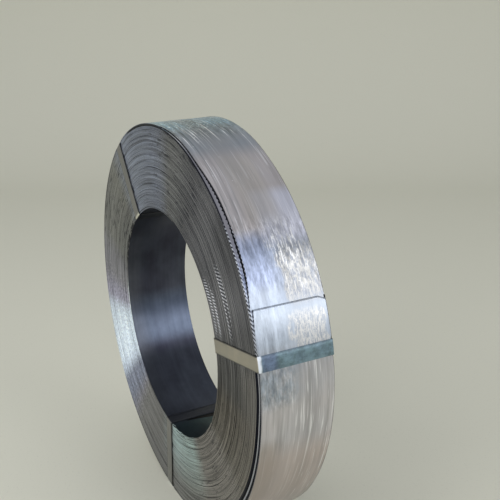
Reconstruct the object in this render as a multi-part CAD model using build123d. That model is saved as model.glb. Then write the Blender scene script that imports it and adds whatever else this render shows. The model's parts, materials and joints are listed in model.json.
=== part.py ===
from build123d import *
import math
import os

# Slit steel coil, standing on its rim.
# The origin is on the bore's axis, half way across the strip. +Y runs along the bore, away from the
# near face, and +Z is up. Angles are seen from the near face: 0 is +X, and they grow towards +Z.
# Lengths are in millimetres.

# Coil
bore_diameter = 508.0
outer_diameter = 869.0
strip_width = 152.4
strip_thickness = 2.2
edge_break = 0.6

bore_radius = bore_diameter / 2
rim_radius = outer_diameter / 2
half_width = strip_width / 2

# The strip's two ends: where it starts in the bore, and where its tail lies on the rim
start_angle = 75.0
climb_angle = 15.0
tail_angle = 22.5
tail_clip_across = 15.0
tail_clip_along = 7.0

# Turns on the end faces, in bands of several turns that sit a little deeper or prouder
band_count = 6
band_scatter = 1.6
band_phase_step = 2.4
near_phase = 0.7
far_phase = 2.9

# The loose outer turns, parted from the rest by two open gaps
loose_turns = 4
bundle_gap = 2.4
bundle_gap_depth = 14.0
bundle_setback = 0.7
last_gap = 1.1
last_gap_depth = 6.0

wrap_radius = rim_radius - strip_thickness
bundle_inner_radius = wrap_radius - loose_turns * strip_thickness - bundle_gap

# Straps
strap_width = 30.0
strap_thickness = 0.9
strap_clearance = 0.2
strap_bend_radius = 1.0
strap_angles = {"strap_right": 9.8, "strap_upper": 124.8, "strap_lower": 263.5}

# Each strap's lap joint on the far face, with punched notches along both edges
lap_length = 84.0
lap_setback = 47.5
notch_count = 4
notch_depth = 2.5

lap_middle_radius = rim_radius - lap_setback - lap_length / 2


def polar(radius, angle):
    return Vector(radius * math.cos(math.radians(angle)), 0, radius * math.sin(math.radians(angle)))


# The coil

def band_depth(index, phase):
    """How far a band of turns lies behind the end plane."""
    return band_scatter * (0.5 + 0.5 * math.sin(band_phase_step * index + phase))


def end_profile(phase):
    """Radius and height of one end face, from the bore's edge out to the last full turn."""
    points = [(bore_radius, half_width - edge_break), (bore_radius + edge_break, half_width)]
    band = (bundle_inner_radius - bore_radius) / band_count
    height = half_width
    for index in range(1, band_count):
        step_radius = bore_radius + index * band
        points.append((step_radius, height))
        height = half_width - band_depth(index, phase)
        points.append((step_radius, height))
    gap_end = bundle_inner_radius + bundle_gap
    points.append((bundle_inner_radius, height))
    points.append((bundle_inner_radius, height - bundle_gap_depth))
    points.append((gap_end, height - bundle_gap_depth))
    bundle_height = half_width - bundle_setback
    last_gap_start = wrap_radius - last_gap
    points.append((gap_end, bundle_height))
    points.append((last_gap_start, bundle_height))
    points.append((last_gap_start, bundle_height - last_gap_depth))
    points.append((wrap_radius, bundle_height - last_gap_depth))
    return points


def wound_body():
    """All full turns as one turned solid."""
    far = end_profile(far_phase)
    near = [(radius, -height) for radius, height in end_profile(near_phase)]
    outline = Polyline(*(far + near[::-1]), close=True)
    return revolve(make_face(outline), Axis.Y, 360)


def climb(low, high, angle_from, angle_to):
    """The strip's path where it climbs from one turn onto the next: two arcs in one tangent line."""
    rise = high - low
    turn = angle_to - angle_from
    middle = polar(low + rise / 2, angle_from + turn / 2)
    first = ThreePointArc(polar(low, angle_from), polar(low + rise / 8, angle_from + turn / 4), middle)
    second = ThreePointArc(middle, polar(high - rise / 8, angle_from + 3 * turn / 4), polar(high, angle_to))
    return first, second


def across(face, width):
    """A flat shape in the coil's plane, drawn out to both sides."""
    return extrude(face, amount=width / 2, dir=(0, 1, 0), both=True)


def last_turn():
    """The outermost turn, from the place where it climbs up to its tail."""
    seat = last_gap / 2
    corner = edge_break
    profile = Polyline(
        (wrap_radius - seat, last_gap_depth - half_width),
        (wrap_radius, last_gap_depth - half_width),
        (wrap_radius, -half_width),
        (rim_radius - corner, -half_width),
        (rim_radius, corner - half_width),
        (rim_radius, half_width - corner),
        (rim_radius - corner, half_width),
        (wrap_radius, half_width),
        (wrap_radius, half_width - last_gap_depth),
        (wrap_radius - seat, half_width - last_gap_depth),
        close=True,
    )
    sweep_angle = 360 + tail_angle - start_angle
    turn = Rot(0, -start_angle, 0) * revolve(make_face(profile), Axis.Y, -sweep_angle)
    foot_angle = start_angle - climb_angle
    first, second = climb(wrap_radius, rim_radius, foot_angle, start_angle)
    foot = polar(wrap_radius - seat, foot_angle)
    head = polar(wrap_radius - seat, start_angle)
    under = ThreePointArc(head, polar(wrap_radius - seat, start_angle - climb_angle / 2), foot)
    ramp = make_face([first, second, Line(polar(rim_radius, start_angle), head), under,
                      Line(foot, polar(wrap_radius, foot_angle))])
    return turn + across(ramp, strip_width - 2 * bundle_setback)


def start_recess():
    """The small hollow beside the strip's inner end, under the turn that climbs over it."""
    foot_angle = start_angle - climb_angle
    first, second = climb(bore_radius, bore_radius + strip_thickness, foot_angle, start_angle)
    inside = bore_radius - strip_thickness
    head = polar(inside, start_angle)
    foot = polar(inside, foot_angle)
    under = ThreePointArc(head, polar(inside, start_angle - climb_angle / 2), foot)
    recess = make_face([first, second, Line(polar(bore_radius + strip_thickness, start_angle), head), under,
                        Line(foot, polar(bore_radius, foot_angle))])
    return across(recess, 2 * strip_width)


def tail_clip():
    """The corner clipped off the tail at the far edge, as a prism through the last turn."""
    along = math.degrees(tail_clip_along / rim_radius)
    corner = polar(rim_radius, tail_angle) + Vector(0, half_width, 0)
    back = polar(rim_radius, tail_angle - along) - polar(rim_radius, tail_angle)
    inward = Vector(0, -tail_clip_across, 0)
    outline = make_face(Polyline(
        corner + back * 2 - inward,
        corner + inward * 2 - back,
        corner - back - inward,
        close=True,
    ))
    return extrude(outline, amount=2 * strip_thickness, dir=polar(1, tail_angle), both=True)


def make_coil():
    return wound_body() + (last_turn() - tail_clip()) - start_recess()


# The straps

def strap_band():
    """A strap's loop round the section, drawn flat."""
    inner = Rectangle(rim_radius - bore_radius + 2 * strap_clearance, strip_width + 2 * strap_clearance)
    inner = fillet(inner.vertices(), strap_bend_radius)
    growth = 2 * strap_thickness
    outer = Rectangle(
        rim_radius - bore_radius + 2 * strap_clearance + growth,
        strip_width + 2 * strap_clearance + growth,
    )
    outer = fillet(outer.vertices(), strap_bend_radius + strap_thickness)
    return Pos((rim_radius + bore_radius) / 2, 0, 0) * (outer - inner)


def lap_layer():
    """The strap's second end, lying on the first on the far face."""
    seat = half_width + strap_clearance + strap_thickness
    layer = Box(lap_length, strap_thickness, strap_width, align=(Align.CENTER, Align.MIN, Align.CENTER))
    return Pos(lap_middle_radius, seat, 0) * layer


def lap_notches():
    """Notches with sloping sides, punched through both layers along both edges of the lap."""
    pitch = lap_length / (notch_count + 1)
    seat = half_width + strap_clearance + strap_thickness
    first = lap_middle_radius - lap_length / 2
    side_length = notch_depth * math.sqrt(2)
    punch_height = 4 * strap_thickness
    notches = []
    for index in range(notch_count):
        for side in (-1, 1):
            notch = Rot(0, 45, 0) * Box(side_length, punch_height, side_length)
            notches.append(Pos(first + (index + 1) * pitch, seat, side * strap_width / 2) * notch)
    return notches


def make_strap(angle):
    """One strap: the part of a turned band that lies in a slab as wide as the strap, with its lap."""
    reach = 2 * math.degrees(math.asin(strap_width / bore_diameter))
    ring = Rot(0, reach, 0) * revolve(strap_band(), Axis.Y, -2 * reach)
    slab = Pos(rim_radius, 0, 0) * Box(2 * rim_radius, 2 * strip_width, strap_width)
    strap = (ring & slab) + lap_layer()
    for notch in lap_notches():
        strap = strap - notch
    return Rot(0, -angle, 0) * strap


os.makedirs("parts", exist_ok=True)
export_step(make_coil(), "parts/coil.step")
for name, angle in strap_angles.items():
    export_step(make_strap(angle), f"parts/{name}.step")
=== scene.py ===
import json
import math

import bpy
import numpy as np
from mathutils import Euler, Matrix, Vector


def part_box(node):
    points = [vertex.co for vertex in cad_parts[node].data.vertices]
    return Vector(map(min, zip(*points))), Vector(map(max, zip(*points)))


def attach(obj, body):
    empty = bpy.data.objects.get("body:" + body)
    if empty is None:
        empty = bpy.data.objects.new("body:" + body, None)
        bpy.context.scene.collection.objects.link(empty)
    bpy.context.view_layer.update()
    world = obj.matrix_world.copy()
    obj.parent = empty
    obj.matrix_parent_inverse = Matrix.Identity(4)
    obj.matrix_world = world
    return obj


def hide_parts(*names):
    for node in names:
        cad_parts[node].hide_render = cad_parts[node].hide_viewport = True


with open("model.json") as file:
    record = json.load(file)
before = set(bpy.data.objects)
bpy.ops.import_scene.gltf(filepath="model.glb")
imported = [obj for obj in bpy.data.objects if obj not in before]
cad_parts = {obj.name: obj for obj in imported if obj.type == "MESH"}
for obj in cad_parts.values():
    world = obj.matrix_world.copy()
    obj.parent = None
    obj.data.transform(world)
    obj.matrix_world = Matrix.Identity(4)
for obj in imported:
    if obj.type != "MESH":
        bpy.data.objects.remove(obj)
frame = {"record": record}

bl_info = {
    "name": "Strip Steel Coil",
    "version": (1, 0, 0),
    "blender": (4, 5, 0),
    "location": "View3D > Sidebar > Coil",
    "description": "Dresses a coil of slit steel strip: its turns, rim, bore, straps and a plain studio",
    "category": "Object",
}

# The coil lies in its own frame: the bore's axis is Y, the near end faces -Y, and +Z is up.
# Angles are seen from the near end: 0 is +X, and they grow towards +Z.
COIL_LOW, COIL_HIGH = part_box("coil")
HALF_WIDTH = COIL_HIGH.y
RIM_RADIUS = COIL_HIGH.x
BORE_RADIUS = frame["record"]["mounts"][0]["dims"]["r_mm"] / 1000
FLOOR_HEIGHT = COIL_LOW.z
MM = 0.001

# Where the strip starts and climbs onto its next turn, and where its tail ends, with a clipped far corner.
START_ANGLE = 75.0
CLIMB_ANGLE = 15.0
TAIL_ANGLE = 22.5
TAIL_SHARE = (360 + TAIL_ANGLE - START_ANGLE) / 360
TAIL_CLIP_ACROSS = 15 * MM
TAIL_CLIP_ALONG = 7 * MM

STRAP_ANGLES = {"strap_right": 9.8, "strap_upper": 124.8, "strap_lower": 263.5}
STRAP_CLEARANCE = 0.2 * MM
LAP_MIDDLE = RIM_RADIUS - 89.5 * MM
LAP_CLEARANCE = 0.02 * MM
NOTCH_COUNT = 4
NOTCH_DEPTH = 2.5 * MM

# Stretches round the coil: two angles, and the width of the soft flanks beside them.
SPRUNG_APART = (-66, 36, 14)
PARTED_BELOW = (-80, -8, 12)
PARTED_ABOVE = (56, 106, 10)
WIDE_LINES = (-70, -4, 12)
SLIPPED_BACK = (30, 80, 13)
SLIPPED_FURTHER = (27, 50, 15)
FRAYED = (272, 325, 8)

# Open gaps: under the last turn at the lower right, under the next one at the top, and under all loose turns.
GAP_BELOW = 3.0 * MM
GAP_ABOVE = 1.4 * MM
BUNDLE_GAP = 0.3 * MM
BUNDLE_GAP_SPRUNG = 4.2 * MM

# How deep a turn's edge reaches beside its land, and how far straps and fraying push edges back.
EDGE_DEPTH = 0.5 * MM
DEEPEST_LINE = 9 * MM
STRAP_DENT = 2.4 * MM
FRAY_DEPTH = 5 * MM

# The ledges beside the last turn, in turns past the start of the turn below it.
UPPER_LEDGE = (TAIL_SHARE, TAIL_SHARE + 0.29)
LOWER_LEDGE = (TAIL_SHARE + 0.965, TAIL_SHARE + 0.9999)


# Curves and noise along the strip

def smooth_step(value, low, high):
    """0 below low, 1 above high, and smooth between them."""
    share = np.clip((value - low) / (high - low), 0.0, 1.0)
    return share * share * (3 - 2 * share)


def hump(angle, low, high, blend):
    """1 between two angles, with smooth flanks, and 0 elsewhere."""
    past_centre = (angle - (low + high) / 2 + 180.0) % 360.0 - 180.0
    half = (high - low) / 2
    return 1.0 - smooth_step(np.abs(past_centre), half, half + blend)


class Wander:
    """A smooth random line along the strip's length, which is counted in turns."""

    def __init__(self, seed, per_turn, turns):
        self.per_turn = per_turn
        self.values = np.random.default_rng(seed).uniform(-1.0, 1.0, int((turns + 2) * per_turn) + 3)

    def __call__(self, length):
        place = np.asarray(length) * self.per_turn
        low = np.floor(place).astype(int)
        share = place - low
        share = share * share * (3 - 2 * share)
        return self.values[low] * (1 - share) + self.values[low + 1] * share


class Winding:
    """Where each turn of the strip lies, for turn numbers and shares of a turn past the strip's start."""

    def __init__(self, sizes):
        self.thickness = sizes.strip_thickness
        self.turns = round((RIM_RADIUS - BORE_RADIUS) / self.thickness)
        self.loose = sizes.loose_turns
        self.slack = sizes.loose_slack
        self.scatter = sizes.edge_scatter
        self.setback = sizes.outer_setback
        self.drift = Wander(11, 0.19, self.turns)
        self.sway = Wander(12, 0.9, self.turns)
        self.flutter = Wander(13, 6.3, self.turns)
        self.open_slow = Wander(14, 2.6, self.turns)
        self.open_fast = Wander(15, 21.0, self.turns)
        self.notches = Wander(16, 120.0, self.turns)

    @staticmethod
    def angle(share):
        return START_ANGLE + 360 * share

    @staticmethod
    def climbed(share):
        """How far the strip has climbed onto the next turn."""
        return smooth_step(share, 1 - CLIMB_ANGLE / 360, 1.0)

    def outer_place(self, total):
        """Turn number and share on the last two turns, from turns past the start of the second last."""
        turn = np.where(total < 1, self.turns - 2, self.turns - 1)
        return turn, np.where(total < 1, total, total - 1)

    def inner_radius(self, turn, share):
        """The inside of a turn. From the last tight turn to the first loose one it crosses the open gap."""
        angle = self.angle(share)
        place = turn + self.climbed(share)
        tight = self.turns - self.loose
        spread = hump(angle, *SPRUNG_APART)
        parted_below = GAP_BELOW * hump(angle, *PARTED_BELOW)
        parted_above = GAP_ABOVE * hump(angle, *PARTED_ABOVE)

        def loose_radius(place, from_top):
            partings = parted_below * np.clip(from_top, 0.0, 1.0)
            partings = partings + parted_above * np.clip(from_top - 1, 0.0, 1.0)
            pitch = self.thickness + self.slack * spread
            return RIM_RADIUS - self.thickness - (self.turns - 1 - place) * pitch - partings

        first_loose = loose_radius(tight, self.loose)
        body_outside = first_loose - (BUNDLE_GAP + BUNDLE_GAP_SPRUNG * spread)
        pitch = (body_outside - BORE_RADIUS) / tight
        last_tight = BORE_RADIUS + pitch * (tight - 1)
        inner = BORE_RADIUS + pitch * place
        crossing = last_tight + (first_loose - last_tight) * (place - tight + 1)
        outer = loose_radius(place, self.from_top(turn, share))
        return np.where(place <= tight - 1, inner, np.where(place < tight, crossing, outer))

    def from_top(self, turn, share):
        """How many turns lie over a turn."""
        return self.turns - 1 - turn - smooth_step(share, TAIL_SHARE - 0.012, TAIL_SHARE + 0.03)

    def edge_offset(self, turn, share, side):
        """How far a turn's edge lies behind the end plane: its wander, slip, dents and fraying."""
        length = turn + share
        angle = self.angle(share)
        wander = 0.75 + 0.5 * self.drift(length) + 0.36 * self.sway(length) + 0.12 * self.flutter(length)
        wander = np.clip(wander if side < 0 else 1.6 - wander, 0.03, 2.0)
        from_top = self.from_top(turn, share)
        outer = np.clip(1.0 - from_top, 0.0, 1.0)
        slip = 0.03
        if side < 0:
            slip = slip + 0.45 * hump(angle, *SLIPPED_BACK) + 0.55 * hump(angle, *SLIPPED_FURTHER)
        reach = 1.8
        pressed = sum(hump(angle, place - reach, place + reach, reach / 2) for place in STRAP_ANGLES.values())
        pressed = pressed * np.clip(1.0 - from_top / 3, 0.0, 1.0) ** 2
        ragged = np.clip(self.notches(length) - 0.1, 0.0, 1.0) * np.clip(1.3 - turn / 4, 0.0, 1.0)
        ragged = ragged * hump(angle, *FRAYED)
        back = self.setback * slip * outer + STRAP_DENT * pressed + FRAY_DEPTH * ragged
        return self.scatter * wander * (1 - 0.8 * outer) + back

    def edge(self, turn, share, side):
        """A turn's edge on one end: its inner and outer radius, the height of its land and its depth."""
        inner = self.inner_radius(turn, share)
        following = self.inner_radius(turn + 1, share)
        bare = (turn >= self.turns - 1) | ((turn == self.turns - 2) & (share > TAIL_SHARE))
        length = turn + share
        amount = 0.7 * self.open_slow(length) + 0.6 * self.open_fast(length)
        widest = 0.9 + 0.5 * hump(self.angle(share), *WIDE_LINES)
        opening = MM * (0.1 + widest * np.clip(amount, 0.0, 1.0) ** 1.3)
        touching = np.minimum(inner + self.thickness, following)
        outside = np.where(bare, inner + self.thickness, touching - opening)
        line = np.where(bare, 0.0, np.maximum(following - outside, 0.0))
        land = HALF_WIDTH - self.edge_offset(turn, share, side)
        depth = EDGE_DEPTH + np.minimum(line * 2.2, DEEPEST_LINE)
        return inner, outside, land, depth


# Meshes

def add_object(name, data):
    added = bpy.data.objects.new(name, data)
    bpy.context.scene.collection.objects.link(added)
    return added


def add_mesh(name, points, faces, material):
    mesh = bpy.data.meshes.new(name)
    mesh.from_pydata(points, [], faces)
    mesh.shade_smooth()
    mesh.materials.append(material)
    return add_object(name, mesh)


def new_piece(name, points, faces, material, attributes=()):
    """One mesh in the shared frame, which rides on the coil. Attributes hold one value for each point."""
    piece = add_mesh(name, points.reshape(-1, 3).tolist(), faces, material)
    for title, values in attributes:
        attribute = piece.data.attributes.new(title, "FLOAT", "POINT")
        attribute.data.foreach_set("value", np.asarray(values, np.float32).ravel())
    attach(piece, "root")
    return piece


def ring_points(radius, angle, along):
    """Points from radius, angle in degrees and place along the axis."""
    turn = np.radians(angle)
    radius, turn, along = np.broadcast_arrays(radius, turn, along)
    return np.stack([radius * np.cos(turn), along, radius * np.sin(turn)], axis=-1)


def side_to_side(near, far, rows):
    """Places along the axis, in even rows from the near end's heights to the far end's."""
    cross = np.linspace(0.0, 1.0, rows)[:, None]
    return -near * (1 - cross) + far * cross


def grid_quads(ids):
    """The quads between neighbouring rows and columns of point numbers, in one grid or in several."""
    corners = ids[..., :-1, :-1], ids[..., :-1, 1:], ids[..., 1:, 1:], ids[..., 1:, :-1]
    return np.stack(corners, axis=-1)


def grid_piece(name, points, material, outside, attributes=()):
    """A piece made of one grid of points, whose rows run from the near end to the far one."""
    ids = np.arange(points[..., 0].size).reshape(points.shape[:2])
    faces = grid_quads(ids).reshape(-1, 4)
    if outside:
        faces = faces[:, ::-1]
    return new_piece(name, points, faces.tolist(), material, attributes)


def end_turns(name, winding, side, steps, material):
    """The edges of all turns on one end: each one's flanks and land, and the floor of the line beyond it."""
    tail_step = round(TAIL_SHARE * steps)
    turn, step = np.meshgrid(np.arange(winding.turns), np.arange(steps + 1), indexing="ij")
    share = step / steps
    inner, outside, land, depth = winding.edge(turn, share, side)
    bevel = 0.12 * MM
    slope = 0.3 * MM
    # The third value of each point is the gap attribute: how strongly painted shade darkens it.
    section = [
        (inner, land - depth, 1.0),
        (inner + bevel, land - slope, 0.1),
        (outside - bevel, land, 0.0),
        (outside, land - depth, 1.0),
    ]
    angle = winding.angle(share)
    points = np.stack([ring_points(radius, angle, side * height) for radius, height, _ in section], axis=1)
    shape = points.shape[:3]
    dark = np.array([value for _, _, value in section]).reshape(1, -1, 1)
    length = turn + share
    tone = 0.5 * winding.sway(length) + 0.5 * winding.flutter(length)
    ids = np.arange(points[..., 0].size).reshape(shape)
    ids[:-1, :, -1] = ids[1:, :, 0]
    lands = grid_quads(ids)
    floors = grid_quads(np.stack([ids[:-1, -1], ids[1:, 0]], axis=1))
    parts = lands[:-1], lands[-1, :, :tail_step], floors[:-1], floors[-1, :, :tail_step]
    faces = np.concatenate([part.reshape(-1, 4) for part in parts])
    if side > 0:
        faces = faces[:, ::-1]
    used = np.unique(faces)
    number = np.zeros(ids.size, int)
    number[used] = np.arange(len(used))
    values = {"gap": dark, "tone": tone[:, None]}
    attributes = [(title, np.broadcast_to(value, shape).ravel()[used]) for title, value in values.items()]
    points = points.reshape(-1, 3)[used]
    return new_piece(name, points, number[faces].tolist(), material, attributes)


def bore_wall(winding, material):
    """The inside of the first turn, with the strip's inner end."""
    steps = 288
    share = np.arange(steps + 1) / steps
    inner, _, near_land, near_depth = winding.edge(0, share, -1)
    _, _, far_land, far_depth = winding.edge(0, share, 1)
    along = side_to_side(near_land - near_depth, far_land - far_depth, rows=13)
    points = ring_points(inner[None], winding.angle(share)[None], along)
    points = np.concatenate([points, points[:, :1]], axis=1)
    return grid_piece("bore_wall", points, material, outside=False)


def rim_surface(winding, material):
    """The outside of the last turn and of the one under it, with the strip's tail and its clipped corner."""
    steps = 576
    overlap = 0.006
    total = TAIL_SHARE - overlap + (1 + overlap) * np.linspace(0.0, 1.0, steps + 1)
    turn, share = winding.outer_place(total)
    _, _, near_land, _ = winding.edge(turn, share, -1)
    _, _, far_land, _ = winding.edge(turn, share, 1)
    along = side_to_side(near_land - EDGE_DEPTH, far_land - EDGE_DEPTH, rows=31)
    clip = np.clip((along - (HALF_WIDTH - TAIL_CLIP_ACROSS)) / TAIL_CLIP_ACROSS, 0.0, 1.0)
    near_tail = smooth_step(total, total[-1] - 0.02, total[-1])
    clip_angle = math.degrees(TAIL_CLIP_ALONG / RIM_RADIUS)
    angle = winding.angle(share)[None] - clip * near_tail[None] * clip_angle
    turned = np.radians(angle)
    wave_height = 0.11 * MM
    waves = np.sin(turned * 9 + along * 31) + np.sin(turned * 23 - along * 55)
    radius = winding.inner_radius(turn, share) + winding.thickness
    points = ring_points(radius[None] + wave_height * (waves - 2), angle, along)
    foot = ring_points(radius[None, -1:] - winding.thickness, angle[:, -1:], along[:, -1:])
    return grid_piece("rim_wrap", np.concatenate([points, foot], axis=1), material, outside=True)


def ledge(name, winding, stretch, steps, material):
    """The outside of the turn below, where the last turn has slipped back from the near end."""
    turn, share = winding.outer_place(np.linspace(*stretch, steps + 1))
    inner, _, slipped_land, _ = winding.edge(turn, share, -1)
    _, _, land, _ = winding.edge(turn - 1, share, -1)
    just_under = inner - 0.05 * MM
    radius = np.minimum(winding.inner_radius(turn - 1, share) + winding.thickness, just_under)
    near_row = land - 0.4 * MM
    middle_row = np.minimum(slipped_land, land) - 3 * MM
    covered_row = slipped_land - 8 * MM
    along = -np.stack([near_row, middle_row, covered_row])
    points = ring_points(radius[None], winding.angle(share)[None], along)
    marks = [("ledge", np.ones(along.size))]
    return grid_piece(name, points, material, outside=True, attributes=marks)


def strap_path(sizes):
    """The middle of the strap's loop round the section: radius and place along the axis, in even steps."""
    lift = sizes.strap_thickness / 2 + STRAP_CLEARANCE
    low, high = BORE_RADIUS - lift, RIM_RADIUS + lift
    near, far = -HALF_WIDTH - lift, HALF_WIDTH + lift
    far_bend = 1.5 * MM
    bore_bend = 2.2 * MM
    bend_points = 9
    loop_points = 121
    corners = [(high, near, sizes.strap_bend), (high, far, far_bend),
               (low, far, far_bend), (low, near, bore_bend)]
    path = []
    for index, (radius, along, bend) in enumerate(corners):
        here = np.array([radius, along])
        before = np.array(corners[index - 1][:2])
        after = np.array(corners[(index + 1) % len(corners)][:2])
        to_before = (before - here) / np.linalg.norm(before - here)
        to_after = (after - here) / np.linalg.norm(after - here)
        centre = here + bend * (to_before + to_after)
        for turn in np.linspace(0.0, math.pi / 2, bend_points):
            path.append(centre - bend * (math.cos(turn) * to_after + math.sin(turn) * to_before))
        if index == 1:
            path.extend(np.array([radius, far]) for radius in sorted(lap_stations(sizes), reverse=True))
    path.append(path[0])
    path = np.array(path)
    reach = np.concatenate([[0.0], np.cumsum(np.linalg.norm(np.diff(path, axis=0), axis=1))])
    marks = np.unique(np.concatenate([np.linspace(0.0, reach[-1], loop_points), reach]))
    return np.stack([np.interp(marks, reach, path[:, column]) for column in range(2)], axis=1)[:-1]


def notch_radii(sizes):
    """Where the notches lie on the lap."""
    pitch = sizes.lap_length / (NOTCH_COUNT + 1)
    return [LAP_MIDDLE - sizes.lap_length / 2 + (index + 1) * pitch for index in range(NOTCH_COUNT)]


def lap_stations(sizes):
    """Radii on the far end where the strap's outline has a corner."""
    return [radius + step * NOTCH_DEPTH for radius in notch_radii(sizes) for step in (-1, 0, 1)]


def notched_half(path, sizes):
    """Half the strap's width along its path: less in the notches punched on the far end."""
    cut = np.zeros(len(path))
    for radius in notch_radii(sizes):
        cut = np.maximum(cut, NOTCH_DEPTH - np.abs(path[:, 0] - radius))
    return sizes.strap_width / 2 - np.where(path[:, 1] > HALF_WIDTH, cut, 0.0)


def band_shell(path, outward, half, thickness, closed, follow_bore):
    """A band along a path, with rounded edges: its points, faces and how far across each point lies."""
    thick = thickness / 2
    lip = 0.3 * MM
    # Each corner's share of the half width, its inset and its level in the thickness.
    section = [(1, -lip, 1), (0.33, 0, 1), (-0.33, 0, 1), (-1, lip, 1), (-1, 0, 0.4),
               (-1, 0, -0.4), (-1, lip, -1), (1, -lip, -1), (1, 0, -0.4), (1, 0, 0.4)]
    rings, across_share = [], []
    for share, inset, level in section:
        across = share * half + inset
        place = path + outward * thick * level
        radius = np.sqrt(place[:, 0] ** 2 - across ** 2) if follow_bore else place[:, 0]
        rings.append(np.stack([radius, place[:, 1], across], axis=1))
        across_share.append(np.full(len(path), float(share)))
    points = np.stack(rings, axis=1)
    ids = np.arange(len(path) * len(section)).reshape(len(path), len(section))
    looped = np.concatenate([ids, ids[:1]], axis=0) if closed else ids
    looped = np.concatenate([looped, looped[:, :1]], axis=1)
    faces = grid_quads(looped).reshape(-1, 4).tolist()
    if not closed:
        faces += [ids[0].tolist(), ids[-1, ::-1].tolist()]
    return points.reshape(-1, 3), faces, np.stack(across_share, axis=1).ravel()


def strap_loop(name, angle, sizes, material):
    """One strap: a flat band bent round the coil's section, which laps over itself on the far end."""
    path = strap_path(sizes)
    ahead = np.roll(path, -1, axis=0) - np.roll(path, 1, axis=0)
    ahead /= np.linalg.norm(ahead, axis=1)[:, None]
    outward = np.stack([ahead[:, 1], -ahead[:, 0]], axis=1)
    middle = np.array([(RIM_RADIUS + BORE_RADIUS) / 2, 0.0])
    outward *= np.sign((outward * (path - middle)).sum(axis=1))[:, None]
    half = notched_half(path, sizes)
    thickness = sizes.strap_thickness
    points, faces, across = band_shell(path, outward, half, thickness, closed=True, follow_bore=True)

    ends = [LAP_MIDDLE - sizes.lap_length / 2, LAP_MIDDLE + sizes.lap_length / 2]
    height = HALF_WIDTH + STRAP_CLEARANCE + thickness + thickness / 2
    lap_path = np.array([(radius, height) for radius in sorted(ends + lap_stations(sizes))])
    lap_outward = np.tile([0.0, 1.0], (len(lap_path), 1))
    lap_half = notched_half(lap_path, sizes)
    lap_thickness = thickness - LAP_CLEARANCE
    lap = band_shell(lap_path, lap_outward, lap_half, lap_thickness, closed=False, follow_bore=False)

    faces = faces + [[index + len(points) for index in face] for face in lap[1]]
    points = np.concatenate([points, lap[0]])
    turn = math.radians(angle)
    cosine, sine = math.cos(turn), math.sin(turn)
    turning = np.array([[cosine, 0, -sine], [0, 1, 0], [sine, 0, cosine]])
    attributes = [("across", np.concatenate([across, lap[2]]))]
    piece = new_piece(name + "_band", points @ turning.T, faces, material, attributes)
    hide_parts(name)
    return piece


# Finishes

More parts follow.
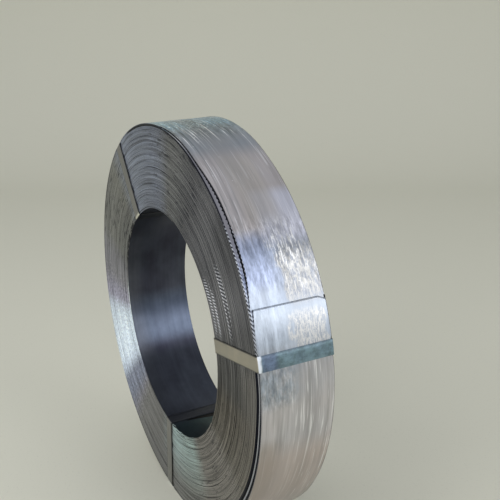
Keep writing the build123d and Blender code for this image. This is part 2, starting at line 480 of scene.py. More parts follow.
class Finish:
    """A material, with short ways to make its nodes. Place is in the coil's own frame, in metres."""

    def __init__(self, name, metallic):
        self.material = bpy.data.materials.new(name)
        self.material.use_nodes = True
        self.tree = self.material.node_tree
        self.shader = self.tree.nodes["Principled BSDF"]
        self.shader.inputs["Metallic"].default_value = metallic
        self.colour = None
        self.place = self.node("TexCoord").outputs["Object"]
        split = self.node("SeparateXYZ")
        self.tree.links.new(self.place, split.inputs[0])
        self.x, self.y, self.z = split.outputs
        self.angle = self.math("ARCTAN2", self.z, self.x)
        self.radius = self.math("SQRT", self.plus(self.times(self.x, self.x), self.times(self.z, self.z)))

    def node(self, kind):
        return self.tree.nodes.new("ShaderNode" + kind)

    def feed(self, socket, value):
        """Links a node's output to a socket, or sets the socket to a number or a colour."""
        if isinstance(value, bpy.types.NodeSocket):
            self.tree.links.new(value, socket)
        elif socket.type == "RGBA":
            socket.default_value = (*value, 1.0)
        else:
            socket.default_value = value

    def math(self, operation, first, second=0.0):
        node = self.node("Math")
        node.operation = operation
        self.feed(node.inputs[0], first)
        self.feed(node.inputs[1], second)
        return node.outputs[0]

    def chain(self, operation, values):
        """One value from several, taken in from the first to the last."""
        result = values[0]
        for value in values[1:]:
            result = self.math(operation, result, value)
        return result

    def plus(self, *values):
        return self.chain("ADD", values)

    def times(self, *values):
        return self.chain("MULTIPLY", values)

    def highest(self, *values):
        return self.chain("MAXIMUM", values)

    def minus(self, first, second):
        return self.math("SUBTRACT", first, second)

    def wave(self, count, lean):
        """A wave round the coil, which leans over with a phase."""
        return self.math("SINE", self.plus(self.times(self.angle, count), lean))

    def facing(self, towards):
        """1 towards an angle in radians, and -1 on the other side of the axis."""
        return self.math("COSINE", self.minus(self.angle, towards))

    def ramp(self, value, low, high, start=0.0, end=1.0):
        """A smooth step of a value, from start to end."""
        node = self.node("MapRange")
        node.interpolation_type = "SMOOTHSTEP"
        for socket, setting in zip(node.inputs[:5], (value, low, high, start, end)):
            self.feed(socket, setting)
        return node.outputs[0]

    def falls(self, value, low, high):
        """1 below low and 0 above high."""
        return self.ramp(value, low, high, 1.0, 0.0)

    def band(self, value, low, high, soft):
        """1 where a value lies between two limits, with soft flanks."""
        return self.times(self.ramp(value, low - soft, low), self.falls(value, high, high + soft))

    def sector(self, low, high, soft):
        """1 between two angles in degrees, and 0 past the soft flanks."""
        centre = math.radians((low + high) / 2)
        half = math.radians((high - low) / 2)
        widest = min(half + math.radians(soft), math.pi)
        return self.ramp(self.facing(centre), math.cos(widest), math.cos(half))

    def vector(self, x, y, z):
        node = self.node("CombineXYZ")
        for socket, value in zip(node.inputs, (x, y, z)):
            self.feed(socket, value)
        return node.outputs[0]

    def scaled(self, x, y, z):
        """The place, with one scale for each axis."""
        node = self.node("VectorMath")
        node.operation = "MULTIPLY"
        self.tree.links.new(self.place, node.inputs[0])
        node.inputs[1].default_value = (x, y, z)
        return node.outputs[0]

    def noise(self, vector, detail, roughness=0.5):
        node = self.node("TexNoise")
        self.feed(node.inputs["Vector"], vector)
        self.feed(node.inputs["Scale"], 1.0)
        self.feed(node.inputs["Detail"], detail)
        self.feed(node.inputs["Roughness"], roughness)
        return node.outputs["Fac"]

    def grain(self, around, along, detail, roughness=0.5):
        """Noise with one scale around the axis and one along it."""
        return self.noise(self.scaled(around, along, around), detail, roughness)

    def ring_grain(self, radius, across, around, detail, roughness=0.5):
        """Noise in rings: fine across them, and slow round the coil."""
        sideways = self.times(self.x, around), self.times(self.z, around)
        return self.noise(self.vector(self.times(radius, across), *sideways), detail, roughness)

    def mix(self, share, first, second, blend="MIX", label=""):
        node = self.node("Mix")
        node.data_type = "RGBA"
        node.blend_type = blend
        node.label = label
        self.feed(node.inputs[0], share)
        self.feed(node.inputs[6], first)
        self.feed(node.inputs[7], second)
        return node.outputs[2]

    def paint(self, label, tone, *shares):
        """Lays a tone over the colour so far, as strongly as the shares' product. The label is the node's."""
        self.colour = self.mix(self.times(*shares), self.colour, tone, label=label)

    def tint(self, *stretches):
        """Paints stretches round the coil: each one's label, tone, two angles, soft flanks and shares."""
        for label, tone, low, high, soft, *shares in stretches:
            self.paint(label, tone, self.sector(low, high, soft), *shares)

    def shaded(self, grey):
        """The colour so far, made lighter or darker by a grey."""
        return self.mix(1.0, self.colour, self.vector(grey, grey, grey), "MULTIPLY")

    def attribute(self, name):
        node = self.node("Attribute")
        node.attribute_name = name
        return node.outputs["Fac"]

    def bump(self, height, strength, distance):
        node = self.node("Bump")
        node.inputs["Strength"].default_value = strength
        node.inputs["Distance"].default_value = distance
        self.feed(node.inputs["Height"], height)
        self.tree.links.new(node.outputs[0], self.shader.inputs["Normal"])

    def rolled_round(self, anisotropic):
        """Lays the finish's grain round the bore's axis."""
        self.shader.inputs["Anisotropic"].default_value = anisotropic
        self.shader.inputs["Anisotropic Rotation"].default_value = 0.25
        node = self.node("Tangent")
        node.direction_type = "RADIAL"
        node.axis = "Y"
        self.tree.links.new(node.outputs[0], self.shader.inputs["Tangent"])

    def finish(self, roughness):
        self.feed(self.shader.inputs["Base Color"], self.colour)
        self.feed(self.shader.inputs["Roughness"], roughness)
        return self.material


# Painted shadow, for the dark lines in creases, partings and stitches.
PAINTED_SHADOW_LINE = (0.012, 0.014, 0.024)
BRIGHT_STEEL = (0.95, 0.97, 1.0)


def edge_tints(f, colours):
    """The ends' colours, stretch by stretch: painted sheen at the top, on the left and below the bore, a
    painted glint on the bore's lip, and painted shade on the right.
    """
    near_bore = f.falls(f.radius, BORE_RADIUS + 20 * MM, BORE_RADIUS + 160 * MM)
    lip = f.falls(f.radius, BORE_RADIUS + 4 * MM, BORE_RADIUS + 6 * MM)
    f.colour = colours.edge
    f.tint(
        # Painted light: a cool sheen at the top, shade on the right, a green sheen below the bore, lilac and
        # bright sheen on the left and a glint on the bore's lip.
        ("painted cool sheen at the top", colours.edge_top, 98, 118, 19),
        ("painted shade on the right", colours.edge_right_shade, -14, 62, 14),
        ("brown right", (0.23, 0.21, 0.18), -30, -16, 12, 0.8),
        ("pale lower right", (0.37, 0.35, 0.33), -62, -40, 10),
        ("painted green sheen below the bore", (0.54, 0.67, 0.67), -94, -70, 12, near_bore),
        ("grey upper left", (0.28, 0.285, 0.28), 146, 172, 9, 0.6),
        ("painted lilac sheen above the left", (0.34, 0.335, 0.41), 172, 190, 11, 0.5),
        ("painted lilac sheen round the left", (0.44, 0.43, 0.54), 188, 226, 11),
        ("blue lower left", (0.28, 0.305, 0.38), 214, 226, 7),
        ("dull bottom", (0.21, 0.205, 0.195), 234, 262, 10, 0.6),
        ("painted bright sheen on the left", colours.edge_left, 198, 210, 11),
        ("painted glint on the bore's lip", (0.85, 0.97, 1.0), 180, 214, 8, lip, 0.6),
    )


def edge_rings(f, wavy, rings):
    """Lighter and darker turns, singly and in wavy groups, with thin dark lines of painted shade in the gaps
    between them.
    """
    groups = f.ring_grain(wavy, 120, 5, 3, 0.7)
    shade = f.ramp(f.plus(f.times(groups, 0.35), f.times(rings, 0.65)), 0.3, 0.66, 0.72, 1.2)
    wavy_groups = f.times(f.sector(-30, 4, 9), f.minus(groups, 0.5), 1.6)
    f.colour = f.shaded(f.plus(shade, wavy_groups))
    # The thin lines are painted shade in the narrow gaps between turns.
    thin_lines = f.falls(f.ring_grain(wavy, 210, 7, 1), 0.33, 0.41)
    strength = f.ramp(f.facing(0.5), 0.2, 0.75, 0.35, 0.43)
    f.paint("painted shade in thin lines", (0.025, 0.025, 0.03), thin_lines, strength)


def edge_tears(f, wavy):
    """Short dark tears along the turns, and nibbled edges beside the bore."""
    tears = f.falls(f.ring_grain(wavy, 210, 30, 2, 0.6), 0.34, 0.42)
    upper_left = f.times(f.sector(134, 166, 8), 1.3)
    lower_right = f.times(f.sector(-64, -12, 9), 0.8)
    torn = f.highest(f.sector(62, 90, 10), upper_left, lower_right)
    f.paint("tears", (0.03, 0.032, 0.04), tears, f.plus(f.times(torn, 0.5), 0.2))
    nibbles = f.ramp(f.grain(75, 0, 2, 0.6), 0.45, 0.5)
    beside_bore = f.falls(f.radius, BORE_RADIUS + 10 * MM, BORE_RADIUS + 12 * MM)
    f.paint("nibbles", (0.012, 0.013, 0.018), nibbles, f.times(f.sector(128, 160, 6), beside_bore))


def edge_shades(f):
    """Darker and paler turns towards the rim and the bore."""
    outwards = f.ramp(f.radius, 340 * MM, 390 * MM)
    inwards = f.falls(f.radius, 300 * MM, 345 * MM)
    f.tint(
        ("dark outer turns", (0.03, 0.03, 0.032), 18, 44, 8, outwards, 0.4),
        ("pale outer turns", (0.42, 0.40, 0.37), -28, 2, 8, outwards, 0.35),
        ("dark inner turns", (0.03, 0.035, 0.05), 138, 166, 8, inwards, 0.25),
    )


def depth_under_last_turn(f):
    """How far inside the last turn's outside a point of the end lies."""
    climb_start = math.radians(START_ANGLE - CLIMB_ANGLE)
    climb = f.ramp(f.angle, climb_start, math.radians(START_ANGLE), 2.25 * MM, 0.0)
    past_tail = f.ramp(f.angle, math.radians(TAIL_ANGLE - 0.1), math.radians(TAIL_ANGLE + 0.1))
    return f.minus(f.minus(RIM_RADIUS, f.radius), f.times(past_tail, climb))


def edge_creases(f, depth):
    """Painted shade: the dark crease at the top and the two dark lines where the loose turns part, with a
    pale strip of painted highlight between them.
    """
    # The crease and the dark lines below are painted shadow at the steps and partings of the outer turns.
    width = f.ramp(f.facing(0.7), 0.4, 1.0, 4.6 * MM, 7.2 * MM)
    crease = f.times(f.ramp(depth, 0.6 * MM, 0.9 * MM), f.ramp(f.minus(width, depth), 0.0, 0.4 * MM))
    crease = f.times(crease, f.sector(36, 112, 6))
    parted = f.sector(-66, 7, 3)
    _, high, blend = PARTED_BELOW
    parting = f.ramp(f.angle, math.radians(high), math.radians(high + blend), GAP_BELOW, 0.0)
    from_gap = f.minus(depth, parting)
    # Painted light: the loose turns' edges are painted paler, as if lit.
    f.paint("painted lit strip", (0.54, 0.555, 0.61), parted, f.falls(from_gap, 8.6 * MM, 9 * MM))
    outer_line = f.times(f.ramp(depth, 0.4 * MM, 0.8 * MM), f.falls(from_gap, 5 * MM, 5.6 * MM))
    inner_line = f.band(from_gap, 9 * MM, 17.5 * MM, 0.6 * MM)
    lines = f.times(parted, f.highest(outer_line, inner_line))
    f.paint("dark lines", PAINTED_SHADOW_LINE, f.highest(crease, lines))


def edge_nicks(f, depth):
    """Broken rows of slanted nicks above the right-hand strap, painted with glints and shade, and stitches of
    painted light and shade on the outermost turns.
    """
    slant = f.times(f.radius, 500)
    nicks = f.wave(285, slant)
    inner_row = f.band(f.radius, 262 * MM, 272 * MM, 2 * MM)
    middle_row = f.band(f.radius, 284 * MM, 290 * MM, 2 * MM)
    outer_row = f.band(f.radius, 330 * MM, 342 * MM, 3 * MM)
    broken = f.ramp(f.ring_grain(f.radius, 60, 12, 1), 0.38, 0.5)
    nicked = f.times(f.highest(inner_row, middle_row, outer_row), broken, f.sector(18, 34, 6))
    # The nicks are painted: glints on one side and shade on the other.
    f.paint("painted glints on the nicks", BRIGHT_STEEL, f.ramp(nicks, 0.0, 0.4), nicked, 0.7)
    f.paint("painted shade on the nicks", (0.04, 0.042, 0.05), f.falls(nicks, -0.45, -0.1), nicked, 0.8)
    # The stitches are painted light and shade: pale and dark dashes across the outermost turns.
    uneven = f.times(f.minus(f.grain(70, 0, 1), 0.5), 2.2)
    stitches = f.ramp(f.plus(f.wave(330, slant), uneven), -0.45, 0.3)
    stitched = f.times(f.sector(13, 40, 6), f.falls(depth, 8 * MM, 9 * MM))
    f.paint("stitches", f.mix(stitches, PAINTED_SHADOW_LINE, (0.62, 0.65, 0.72)), stitched)


def edge_finish(colours):
    """Slit edges of the turns: grey lands in fine rings, gaps darkened with painted shade, painted sheen, and
    rows of nicks with painted glints.
    """
    f = Finish("slit_edges", metallic=0.9)
    f.rolled_round(0.75)
    wavy = f.plus(f.radius, f.times(f.grain(8, 0, 1), 7 * MM))
    rings = f.ring_grain(f.radius, 330, 9, 2, 0.6)
    depth = depth_under_last_turn(f)
    edge_tints(f, colours)
    edge_rings(f, wavy, rings)
    edge_tears(f, wavy)
    edge_shades(f)
    edge_creases(f, depth)
    edge_nicks(f, depth)
    grains = f.ramp(f.grain(150, 0, 2, 0.7), 0.3, 0.7, 0.62, 1.3)
    f.paint("grains", f.shaded(grains), f.sector(182, 232, 12))
    f.colour = f.shaded(f.ramp(f.attribute("tone"), -0.7, 0.7, 0.82, 1.1))
    f.paint("sheen over the rings", colours.edge_left, f.sector(198, 210, 11), 0.3)
    # Painted shade darkens the walls and floors of the gaps between turns, where the gap attribute marks
    # them.
    f.paint("gaps", (0.008, 0.009, 0.012), f.ramp(f.attribute("gap"), 0.1, 0.45))
    f.bump(rings, 0.3, 0.4 * MM)
    return f.finish(f.ramp(rings, 0.2, 0.8, 0.42, 0.54))


def rim_tints(f, near_half):
    """The rim's colours, stretch by stretch: mostly painted reflections and painted shade that change with
    the angle round the coil.
    """
    far_side = f.ramp(f.y, -20 * MM, 8 * MM)
    near_edge = f.ramp(f.y, -55 * MM, -20 * MM, 0.6, 0.0)
    middle = f.band(f.y, -15 * MM, 25 * MM, 25 * MM)
    f.tint(
        # Most stretches below are painted reflections and painted shade: teal at the top, cool and pale by
        # the strap, warm lower down.
        ("painted teal reflection at the top", (0.235, 0.40, 0.53), 84, 112, 12, 0.85),
        ("painted duller reflection beside the top", (0.28, 0.30, 0.33), 67, 79, 7, 0.7),
        ("painted warm reflection on the upper right", (0.50, 0.455, 0.45), 42, 62, 8, 0.75),
        ("painted cool reflection on the right", (0.44, 0.50, 0.60), 12, 33, 7, 0.85),
        ("painted slate shade on the far side", (0.30, 0.34, 0.42), 26, 35, 4, far_side, 0.7),
        ("painted pale reflection on the far side", (0.66, 0.68, 0.80), 39, 49, 4, far_side, 0.7),
        ("painted pale reflection above the strap", (0.58, 0.64, 0.72), 13, 20, 3, 0.6),
        ("painted pale reflection below the strap", (0.59, 0.565, 0.59), -16, 6, 8, 0.75),
        ("painted warm reflection on the lower right", (0.565, 0.485, 0.46), -70, -20, 10, 0.75),
        ("brown near edge", (0.36, 0.31, 0.28), -32, -14, 5, near_edge),
        ("painted blue shade on the near half", (0.37, 0.43, 0.62), 30, 37, 5, near_half, 0.7),
        ("brown middle", (0.49, 0.455, 0.42), 47, 60, 7, middle, 0.6),
    )


def rim_scratches(f):
    """Painted blotchy blue shade beside the right-hand strap, bright scratches and dark scores along the
    strip.
    """
    # Painted shade: a blotchy blue shade on the rim just beside the right-hand strap, fading towards the far
    # side.
    blots = f.ramp(f.grain(34, 70, 3, 0.7), 0.35, 0.6, 0.4, 1.0)
    strap_shade_fade = f.ramp(f.y, -20 * MM, 20 * MM, 1.0, 0.15)
    f.paint("painted blue shade beside the strap", (0.30, 0.37, 0.47), f.sector(3, 7, 6), strap_shade_fade, blots, 0.72)
    scratches = f.ramp(f.grain(9, 280, 2, 0.6), 0.57, 0.65)
    right = f.times(f.sector(-36, 6, 8), f.ramp(f.y, -15 * MM, 15 * MM, 0.3, 0.7))
    upper = f.times(f.sector(46, 108, 12), 0.45)
    top = f.times(f.sector(76, 100, 9), 0.85)
    f.paint("scratches", (0.97, 0.97, 1.0), scratches, f.highest(right, upper, top))
    scores = f.falls(f.noise(f.scaled(4, 200, 4.3), 2, 0.6), 0.34, 0.42)
    scored = f.plus(f.times(f.sector(50, 108, 12), 0.45), f.times(f.sector(76, 100, 9), 0.3))
    f.paint("scores", (0.13, 0.16, 0.17), scores, scored)


def rim_scuffs(f):
    """Two patches of pale scuffs on duller ground beside the tail, and wisps above them."""
    sweep = f.plus(f.times(f.angle, 7), f.times(f.y, 42))
    swept = f.noise(f.vector(f.times(sweep, 2.5), f.times(f.y, 170), 3), 4, 0.75)
    swept = f.ramp(swept, 0.5, 0.62)
    back_sweep = f.minus(f.times(f.angle, 21), f.times(f.y, 80))
    crossed = f.noise(f.vector(back_sweep, f.times(f.y, 270), 7), 3, 0.7)
    crossed = f.ramp(crossed, 0.5, 0.58)
    rubbed = f.ramp(f.grain(115, 180, 3, 0.75), 0.46, 0.62)
    scuffs = f.highest(f.times(swept, 0.6), f.times(crossed, 0.8), f.times(rubbed, 0.75))
    fringe = f.times(f.minus(f.grain(34, 60, 3), 0.5), 60 * MM)
    ragged_y = f.plus(f.y, fringe)
    patch = f.times(f.sector(25.5, 33, 5), f.band(ragged_y, 10 * MM, 90 * MM, 12 * MM))
    lower_patch = f.times(f.sector(13, 18.5, 2.5), f.band(ragged_y, 6 * MM, 62 * MM, 10 * MM))
    f.paint("dull patch", (0.33, 0.345, 0.385), patch, 0.75)
    f.paint("scuffed patch", (0.65, 0.64, 0.61), scuffs, patch)
    f.paint("dull lower patch", (0.52, 0.54, 0.58), lower_patch, 0.4)
    f.paint("scuffed lower patch", (0.95, 0.93, 0.89), scuffs, lower_patch)
    wisped = f.band(ragged_y, 0.0, 45 * MM, 12 * MM)
    f.paint("wisps", (0.95, 0.95, 0.95), crossed, f.sector(34, 41, 4), wisped, 0.85)


def rim_flecks_and_sheen(f, near_half):
    """Burr flecks at the top painted as glints, a painted teal-white sheen along the top's near edge, mottled
    stretches and bright specks.
    """
    # The flecks are burrs painted with a bright glint.
    flecks = f.ramp(f.grain(120, 240, 2, 0.6), 0.55, 0.63)
    far_thinner = f.ramp(f.y, -HALF_WIDTH, HALF_WIDTH, 1.0, 0.45)
    f.paint("flecks", (0.80, 0.95, 1.0), flecks, f.sector(86, 110, 8), far_thinner)
    # Painted sheen: a teal-white sheen along the near edge at the top.
    near_edge = f.ramp(f.y, -HALF_WIDTH, -HALF_WIDTH + 50 * MM, 0.5, 0.0)
    f.paint("painted teal-white sheen", (0.62, 0.84, 0.93), f.sector(90, 108, 8), near_edge)
    mottle = f.ramp(f.grain(30, 110, 4, 0.75), 0.3, 0.7, 0.64, 1.3)
    below_strap = f.times(f.sector(0, 6, 3.5), near_half)
    above_strap = f.times(f.sector(13, 25, 4), near_half, 0.5)
    mottled = f.highest(f.sector(80, 110, 8), f.sector(29, 40, 6), below_strap, above_strap)
    f.paint("mottle", f.shaded(mottle), mottled)
    specks = f.ramp(f.grain(170, 170, 1), 0.75, 0.8)
    speckled = f.times(f.sector(50, 80, 10), f.falls(f.y, -40 * MM, -10 * MM))
    f.paint("specks", BRIGHT_STEEL, specks, speckled)


def ledge_rungs(f):
    """Dark slanted rungs of painted shade on the ledge above the strap, and the duller ledge above them."""
    # The rungs are painted shade: dark slanted dashes on the ledge.
    split = f.band(f.y, -HALF_WIDTH + 4.5 * MM, -HALF_WIDTH + 5.5 * MM, MM)
    ladder = f.minus(f.wave(330, f.times(f.y, 300)), f.times(split, 1.5))
    on_ledge = f.attribute("ledge")
    f.paint("painted shaded rungs", (0.07, 0.075, 0.12), f.falls(ladder, -0.5, 0.0), f.sector(13, 38, 8), on_ledge, 0.7)
    f.paint("dull ledge", (0.28, 0.275, 0.315), on_ledge, f.sector(38, 66, 8), 0.8)


def rim_finish(colours):
    """The strip's rolled face on the rim: long streaks, scuffs, and cool, warm and pale stretches of painted
    reflection.
    """
    f = Finish("rolled_rim", metallic=0.92)
    f.rolled_round(0.5)
    near_half = f.falls(f.y, -30 * MM, 15 * MM)
    cloud = f.grain(9, 14, 3, 0.55)
    streaks = f.grain(5, 150, 4, 0.7)
    wide_streaks = f.grain(3, 45, 2)
    f.colour = f.mix(f.ramp(cloud, 0.3, 0.7), colours.rim_cool, colours.rim_warm)
    rim_tints(f, near_half)
    steel = f.colour
    shade = f.ramp(f.plus(f.times(streaks, 0.65), f.times(wide_streaks, 0.35)), 0.3, 0.7, 0.7, 1.22)
    f.colour = f.shaded(shade)
    dull = f.band(f.y, -26 * MM, 4 * MM, 10 * MM)
    f.paint("dull streak", (0.25, 0.262, 0.275), f.sector(62, 90, 10), dull, 0.5)
    rim_scratches(f)
    rim_scuffs(f)
    calm_middle = f.band(f.y, -28 * MM, 50 * MM, 25 * MM)
    far_fainter = f.ramp(f.y, 10 * MM, 55 * MM, 0.6, 0.2)
    f.paint("calm upper right", steel, f.sector(44, 70, 7), calm_middle, 0.6)
    f.paint("calm lower right", steel, f.sector(-75, -18, 7), far_fainter)
    rim_flecks_and_sheen(f, near_half)
    ledge_rungs(f)
    f.bump(f.plus(f.times(streaks, 0.5), f.times(cloud, 1.6)), 0.25, 0.6 * MM)
    return f.finish(f.ramp(streaks, 0.25, 0.75, 0.30, 0.46))


def bore_finish(colours):
    """The clean inside of the first turn: very dark and smooth, with one long pale reflection."""
    f = Finish("bore_steel", metallic=0.95)
    f.rolled_round(0.4)
    streaks = f.grain(2.4, 120, 3, 0.6)
    cloud = f.grain(7, 9, 2)
    f.colour = f.mix(f.ramp(cloud, 0.3, 0.7), colours.bore_dark, colours.bore_light)
    uneven = f.ramp(cloud, 0.1, 0.6, 0.7, 1.0)
    f.paint("reflection", (0.112, 0.137, 0.192), f.sector(193, 205, 11), uneven)
    # Painted light: the third of the bore by its open near end is paler.
    near_third = f.falls(f.y, -HALF_WIDTH, -HALF_WIDTH / 3)
    f.paint("painted light near the near end", (0.17, 0.18, 0.21), near_third, 0.5)
    f.paint("dark lower left", (0.042, 0.048, 0.06), f.sector(222, 264, 8), 0.7)
    f.paint("green bottom", (0.05, 0.08, 0.085), f.sector(272, 300, 8))
    f.colour = f.shaded(f.ramp(f.grain(17, 24, 3, 0.6), 0.3, 0.7, 0.87, 1.15))
    f.colour = f.shaded(f.ramp(f.plus(f.times(streaks, 0.6), f.times(cloud, 0.4)), 0.3, 0.7, 0.88, 1.1))
    # A narrow shadow lies beside the lower strap, and widens towards the far end.
    shadow_end = f.ramp(f.y, -40 * MM, 50 * MM, 268.2, 271.0)
    degrees = f.math("DEGREES", f.plus(f.angle, math.tau))
    beside = f.falls(degrees, shadow_end, f.plus(shadow_end, 0.3))
    past_near_end = f.ramp(f.y, -45 * MM, -35 * MM)
    f.paint("shadow", (0.003, 0.003, 0.004), beside, f.sector(267.3, 273, 0.3), past_near_end)
    f.bump(streaks, 0.04, 0.4 * MM)
    return f.finish(f.ramp(cloud, 0.3, 0.7, 0.3, 0.36))


def strap_finish(colours):
    """Coated strapping, dark green-blue on the rim; dull on the ends with a beige painted reflection, painted
    highlights at the bends, and painted shadow along the edges and shade in the bore.
    """
    f = Finish("coated_strap", metallic=0.35)
    height = f.math("ABSOLUTE", f.y)
    near_side = f.falls(f.y, -MM, 0.0)
    across = f.attribute("across")
    cloud = f.ramp(f.grain(35, 35, 3, 0.6), 0.3, 0.7)

    f.colour = f.mix(cloud, colours.strap_coat, (0.15, 0.235, 0.26))
    # Painted reflection: a navy band on the rim run beside the bend.
    beside_bend = f.band(f.y, 14 * MM - HALF_WIDTH, 30 * MM - HALF_WIDTH, 14 * MM)
    f.paint("painted navy reflection beside the bend", (0.15, 0.20, 0.33), beside_bend, 0.75)
    f.colour = f.shaded(f.ramp(f.grain(75, 60, 4, 0.7), 0.3, 0.7, 0.62, 1.2))
    # Painted shadow along the strap's upper edge.
    f.paint("painted shadow along the upper edge", (0.06, 0.09, 0.12), f.ramp(across, 0.72, 0.9), 0.55)
    # Painted highlight: a ragged bright band where the strap bends onto the rim at the near end.
    ragged = f.plus(height, f.times(f.grain(60, 60, 2), 8 * MM))
    at_bend = f.ramp(ragged, HALF_WIDTH - 4 * MM, HALF_WIDTH + MM)
    f.paint("painted highlight on the bend onto the rim", (0.85, 0.91, 1.0), at_bend, near_side)
    coat = f.colour

    # Painted reflection: the beige the strap shows on the ends, darker in general and paler on the right-hand
    # strap.
    pale = f.mix(cloud, colours.strap_end_reflection, (0.275, 0.25, 0.19))
    f.colour = f.mix(0.55, pale, (0.06, 0.073, 0.09))
    f.paint("painted paler reflection on the right", pale, f.sector(-40, 60, 20))
    # Painted shadow along the strap's edges on the ends.
    f.paint("painted shadow along the edges", (0.02, 0.02, 0.018), f.ramp(f.math("ABSOLUTE", across), 0.84, 0.93), 0.85)
    # Painted highlight where the upper strap bends into the bore at the near end.
    bend = f.falls(f.radius, BORE_RADIUS + MM, BORE_RADIUS + 7 * MM)
    bend = f.times(bend, f.sector(110, 140, 5))
    f.paint("painted highlight on the bend into the bore", (0.5, 0.49, 0.40), bend, near_side)
    f.paint("coat on the rim", coat, f.ramp(f.radius, RIM_RADIUS - 2 * MM, RIM_RADIUS))
    # Painted shade on the strap's run through the bore.
    on_end = f.ramp(height, HALF_WIDTH - 0.6 * MM, HALF_WIDTH + 0.1 * MM)
    in_bore = f.falls(f.radius, BORE_RADIUS, BORE_RADIUS + 1.5 * MM)
    f.paint("painted shade in the bore", (0.014, 0.016, 0.021), in_bore, f.minus(1.0, on_end))
    f.bump(f.grain(240, 240, 2), 0.1, 0.3 * MM)
    return f.finish(f.ramp(cloud, 0.0, 1.0, 0.32, 0.44))


def floor_finish(colours):
    """Pale smooth concrete with faint specks."""
    f = Finish("pale_floor", metallic=0.0)
    f.colour = colours.floor
    specks = f.ramp(f.grain(170, 170, 3, 0.6), 0.58, 0.72)
    f.paint("specks", [0.72 * part for part in colours.floor], specks, 0.25)
    return f.finish(0.7)


# Studio

def studio_sheet(material):
    """The floor and the backdrop as one sheet, with a round cove behind the coil."""
    away = Vector((-0.84, 0.54, 0.0)).normalized()
    across = Vector((away.y, -away.x, 0.0))
    front = 5.0
    back = 4.2
    cove = 1.2
    wall_top = 4.0
    half_width = 7.0
    line = [(-front, 0.0), (back - cove, 0.0)]
    for turn in np.linspace(0.0, math.pi / 2, 13)[1:]:
        line.append((back - cove + cove * math.sin(turn), cove - cove * math.cos(turn)))
    line.append((back, wall_top))
    points = []
    for side in (-half_width, half_width):
        for reach, up in line:
            points.append(away * reach + across * side + Vector((0, 0, FLOOR_HEIGHT + up)))
    count = len(line)
    faces = [(i, i + 1, count + i + 1, count + i) for i in range(count - 1)]
    sheet = add_mesh("studio_sheet", points, faces, material)


def soft_light(name, place, size, power):
    """An area light that faces the coil."""
    lamp = bpy.data.lights.new(name, "AREA")
    lamp.shape = "RECTANGLE"
    lamp.size, lamp.size_y = size
    lamp.energy = power
    light = add_object(name, lamp)
    light.location = place
    light.rotation_euler = (-Vector(place)).to_track_quat("-Z", "Y").to_euler()


def studio_camera():
    """The camera at the photograph's viewing angle, where a fit to the coil's outlines puts it."""
    place = Vector((1.568596, -0.662621, 0.687044))
    turn = Euler([math.radians(angle) for angle in (72.47712, 1.70127, 62.59955)])
    lens = bpy.data.cameras.new("camera")
    lens.lens = 59.04
    lens.sensor_width = 36.0
    camera = add_object("camera", lens)
    camera.matrix_world = Matrix.LocRotScale(place, turn, None)
    bpy.context.scene.camera = camera


# Settings

def number_property(name, description, default, unit="LENGTH", low=0.0):
    return bpy.props.FloatProperty(name=name, description=description, default=default, min=low, unit=unit)


def colour_property(name, description, default):
    return bpy.props.FloatVectorProperty(
        name=name, description=description, default=default, subtype="COLOR", size=3, min=0.0, max=1.0)


class CoilSizes(bpy.types.PropertyGroup):
    strip_thickness: number_property("Strip thickness", "It sets the number of turns", 0.0022, low=0.001)
    loose_turns: bpy.props.IntProperty(
        name="Loose turns", description="Outer turns that have sprung away from the rest", default=4, min=2)
    loose_slack: number_property("Slack", "Widest open gap between two loose turns", 0.0001)
    edge_scatter: number_property("Edge scatter", "How unevenly the turns end", 0.0011)
    outer_setback: number_property("Outer setback", "How far the last turns have slipped back", 0.0105)
    strap_width: number_property("Strap width", "Width of the straps", 0.030)
    strap_thickness: number_property("Strap thickness", "Thickness of the straps", 0.0009)
    lap_length: number_property("Lap length", "Length of the lap joint on the far end", 0.084)
    strap_bend: number_property("Strap bend", "Bend radius where a strap turns onto the rim", 0.006)


class CoilColours(bpy.types.PropertyGroup):
    edge: colour_property("Edges", "The turns' edges on the ends", (0.30, 0.302, 0.288))
    edge_top: colour_property("Edges, top", "The cool sheen at the top", (0.37, 0.41, 0.52))
    # This colour is painted shade: it darkens the right-hand stretch of the ends.
    edge_right_shade: colour_property("Edges, right", "The dull stretch on the right", (0.17, 0.17, 0.168))
    edge_left: colour_property("Edges, left", "The bright sheen on the far left", (0.79, 0.89, 1.0))
    rim_cool: colour_property("Rim, cool", "The cooler stretches of the rim", (0.42, 0.46, 0.52))
    rim_warm: colour_property("Rim, warm", "The warmer stretches of the rim", (0.48, 0.47, 0.48))
    bore_dark: colour_property("Bore, dark", "The darker steel of the bore", (0.052, 0.054, 0.08))
    bore_light: colour_property("Bore, light", "The lighter steel of the bore", (0.075, 0.083, 0.11))
    strap_coat: colour_property("Strap coat", "The straps' coating on the rim", (0.18, 0.27, 0.33))
    # This colour is a painted reflection: the beige that the straps show on the ends.
    strap_end_reflection: colour_property("Strap, ends", "The straps' dull face across the ends", (0.215, 0.2, 0.155))
    floor: colour_property("Floor", "The floor and backdrop", (0.68, 0.67, 0.57))


class CoilLights(bpy.types.PropertyGroup):
    world: number_property("Ambient", "Strength of the even light", 0.6, "NONE")
    key: number_property("Key", "The light that the rim mirrors", 24.0, "POWER")
    side: number_property("Side", "The low light on the near end", 24.0, "POWER")
    top: number_property("Top", "The soft light overhead", 34.0, "POWER")


# Operators

class CoilOperator(bpy.types.Operator):
    bl_options = {"REGISTER", "UNDO"}


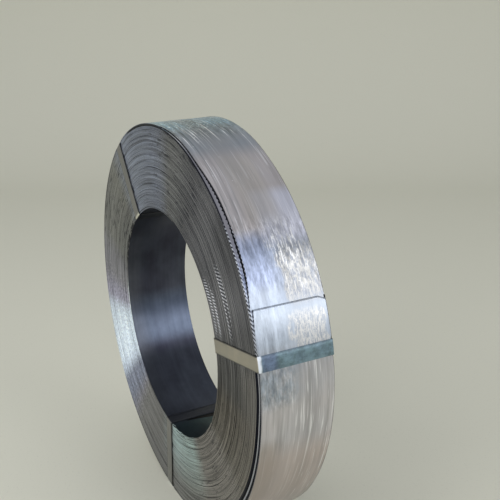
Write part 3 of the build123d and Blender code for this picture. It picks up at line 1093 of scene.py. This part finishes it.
class COIL_OT_turns(CoilOperator):
    """Wind the strip: the turns' edges on both ends, the bore's wall and the rim"""
    bl_idname = "coil.turns"
    bl_label = "Wind the Strip"

    def execute(self, context):
        winding = Winding(context.scene.coil_sizes)
        colours = context.scene.coil_colours
        edges = edge_finish(colours)
        rim = rim_finish(colours)
        near_end = end_turns("near_end_turns", winding, -1, 288, edges)
        end_turns("far_end_turns", winding, 1, 144, edges)
        bore_wall(winding, bore_finish(colours))
        rim_surface(winding, rim)
        ledge("upper_ledge", winding, UPPER_LEDGE, 160, rim)
        ledge("lower_ledge", winding, LOWER_LEDGE, 24, rim)
        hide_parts("coil")
        return {"FINISHED"}


class COIL_OT_straps(CoilOperator):
    """Bend the three straps round the coil's section"""
    bl_idname = "coil.straps"
    bl_label = "Bind with Straps"

    def execute(self, context):
        finish = strap_finish(context.scene.coil_colours)
        for name, angle in STRAP_ANGLES.items():
            strap_loop(name, angle, context.scene.coil_sizes, finish)
        return {"FINISHED"}


class COIL_OT_stage(CoilOperator):
    """Set the floor, the backdrop, the lights and the camera"""
    bl_idname = "coil.stage"
    bl_label = "Set the Stage"

    def execute(self, context):
        lights = context.scene.coil_lights
        studio_sheet(floor_finish(context.scene.coil_colours))
        soft_light("key_light", (3.0, 1.5, 1.55), (2.0, 1.9), lights.key)
        soft_light("side_light", (0.75, -2.9, 0.45), (1.6, 1.0), lights.side)
        soft_light("top_light", (0.3, -2.3, 2.9), (2.4, 2.4), lights.top)
        world = bpy.data.worlds.new("studio")
        world.use_nodes = True
        background = world.node_tree.nodes["Background"]
        background.inputs["Color"].default_value = (0.93, 0.96, 1.0, 1.0)
        background.inputs["Strength"].default_value = lights.world
        context.scene.world = world
        context.scene.view_settings.view_transform = "Standard"
        studio_camera()
        return {"FINISHED"}


class COIL_PT_panel(bpy.types.Panel):
    bl_label = "Strip Steel Coil"
    bl_space_type = "VIEW_3D"
    bl_region_type = "UI"
    bl_category = "Coil"

    def draw(self, context):
        for title, group in GROUPS.items():
            box = self.layout.box()
            for setting in group.__annotations__:
                box.prop(getattr(context.scene, title), setting)
        for operator in OPERATORS:
            self.layout.operator(operator.bl_idname)


GROUPS = {"coil_sizes": CoilSizes, "coil_colours": CoilColours, "coil_lights": CoilLights}
OPERATORS = (COIL_OT_turns, COIL_OT_straps, COIL_OT_stage)


def register():
    for group in (*GROUPS.values(), *OPERATORS, COIL_PT_panel):
        bpy.utils.register_class(group)
    for title, group in GROUPS.items():
        setattr(bpy.types.Scene, title, bpy.props.PointerProperty(type=group))


def unregister():
    for title in GROUPS:
        delattr(bpy.types.Scene, title)
    for group in (COIL_PT_panel, *reversed(OPERATORS), *reversed(tuple(GROUPS.values()))):
        bpy.utils.unregister_class(group)


def main():
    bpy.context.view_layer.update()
    register()
    bpy.ops.coil.turns()
    bpy.ops.coil.straps()
    bpy.ops.coil.stage()


if __name__ == "__main__":
    main()
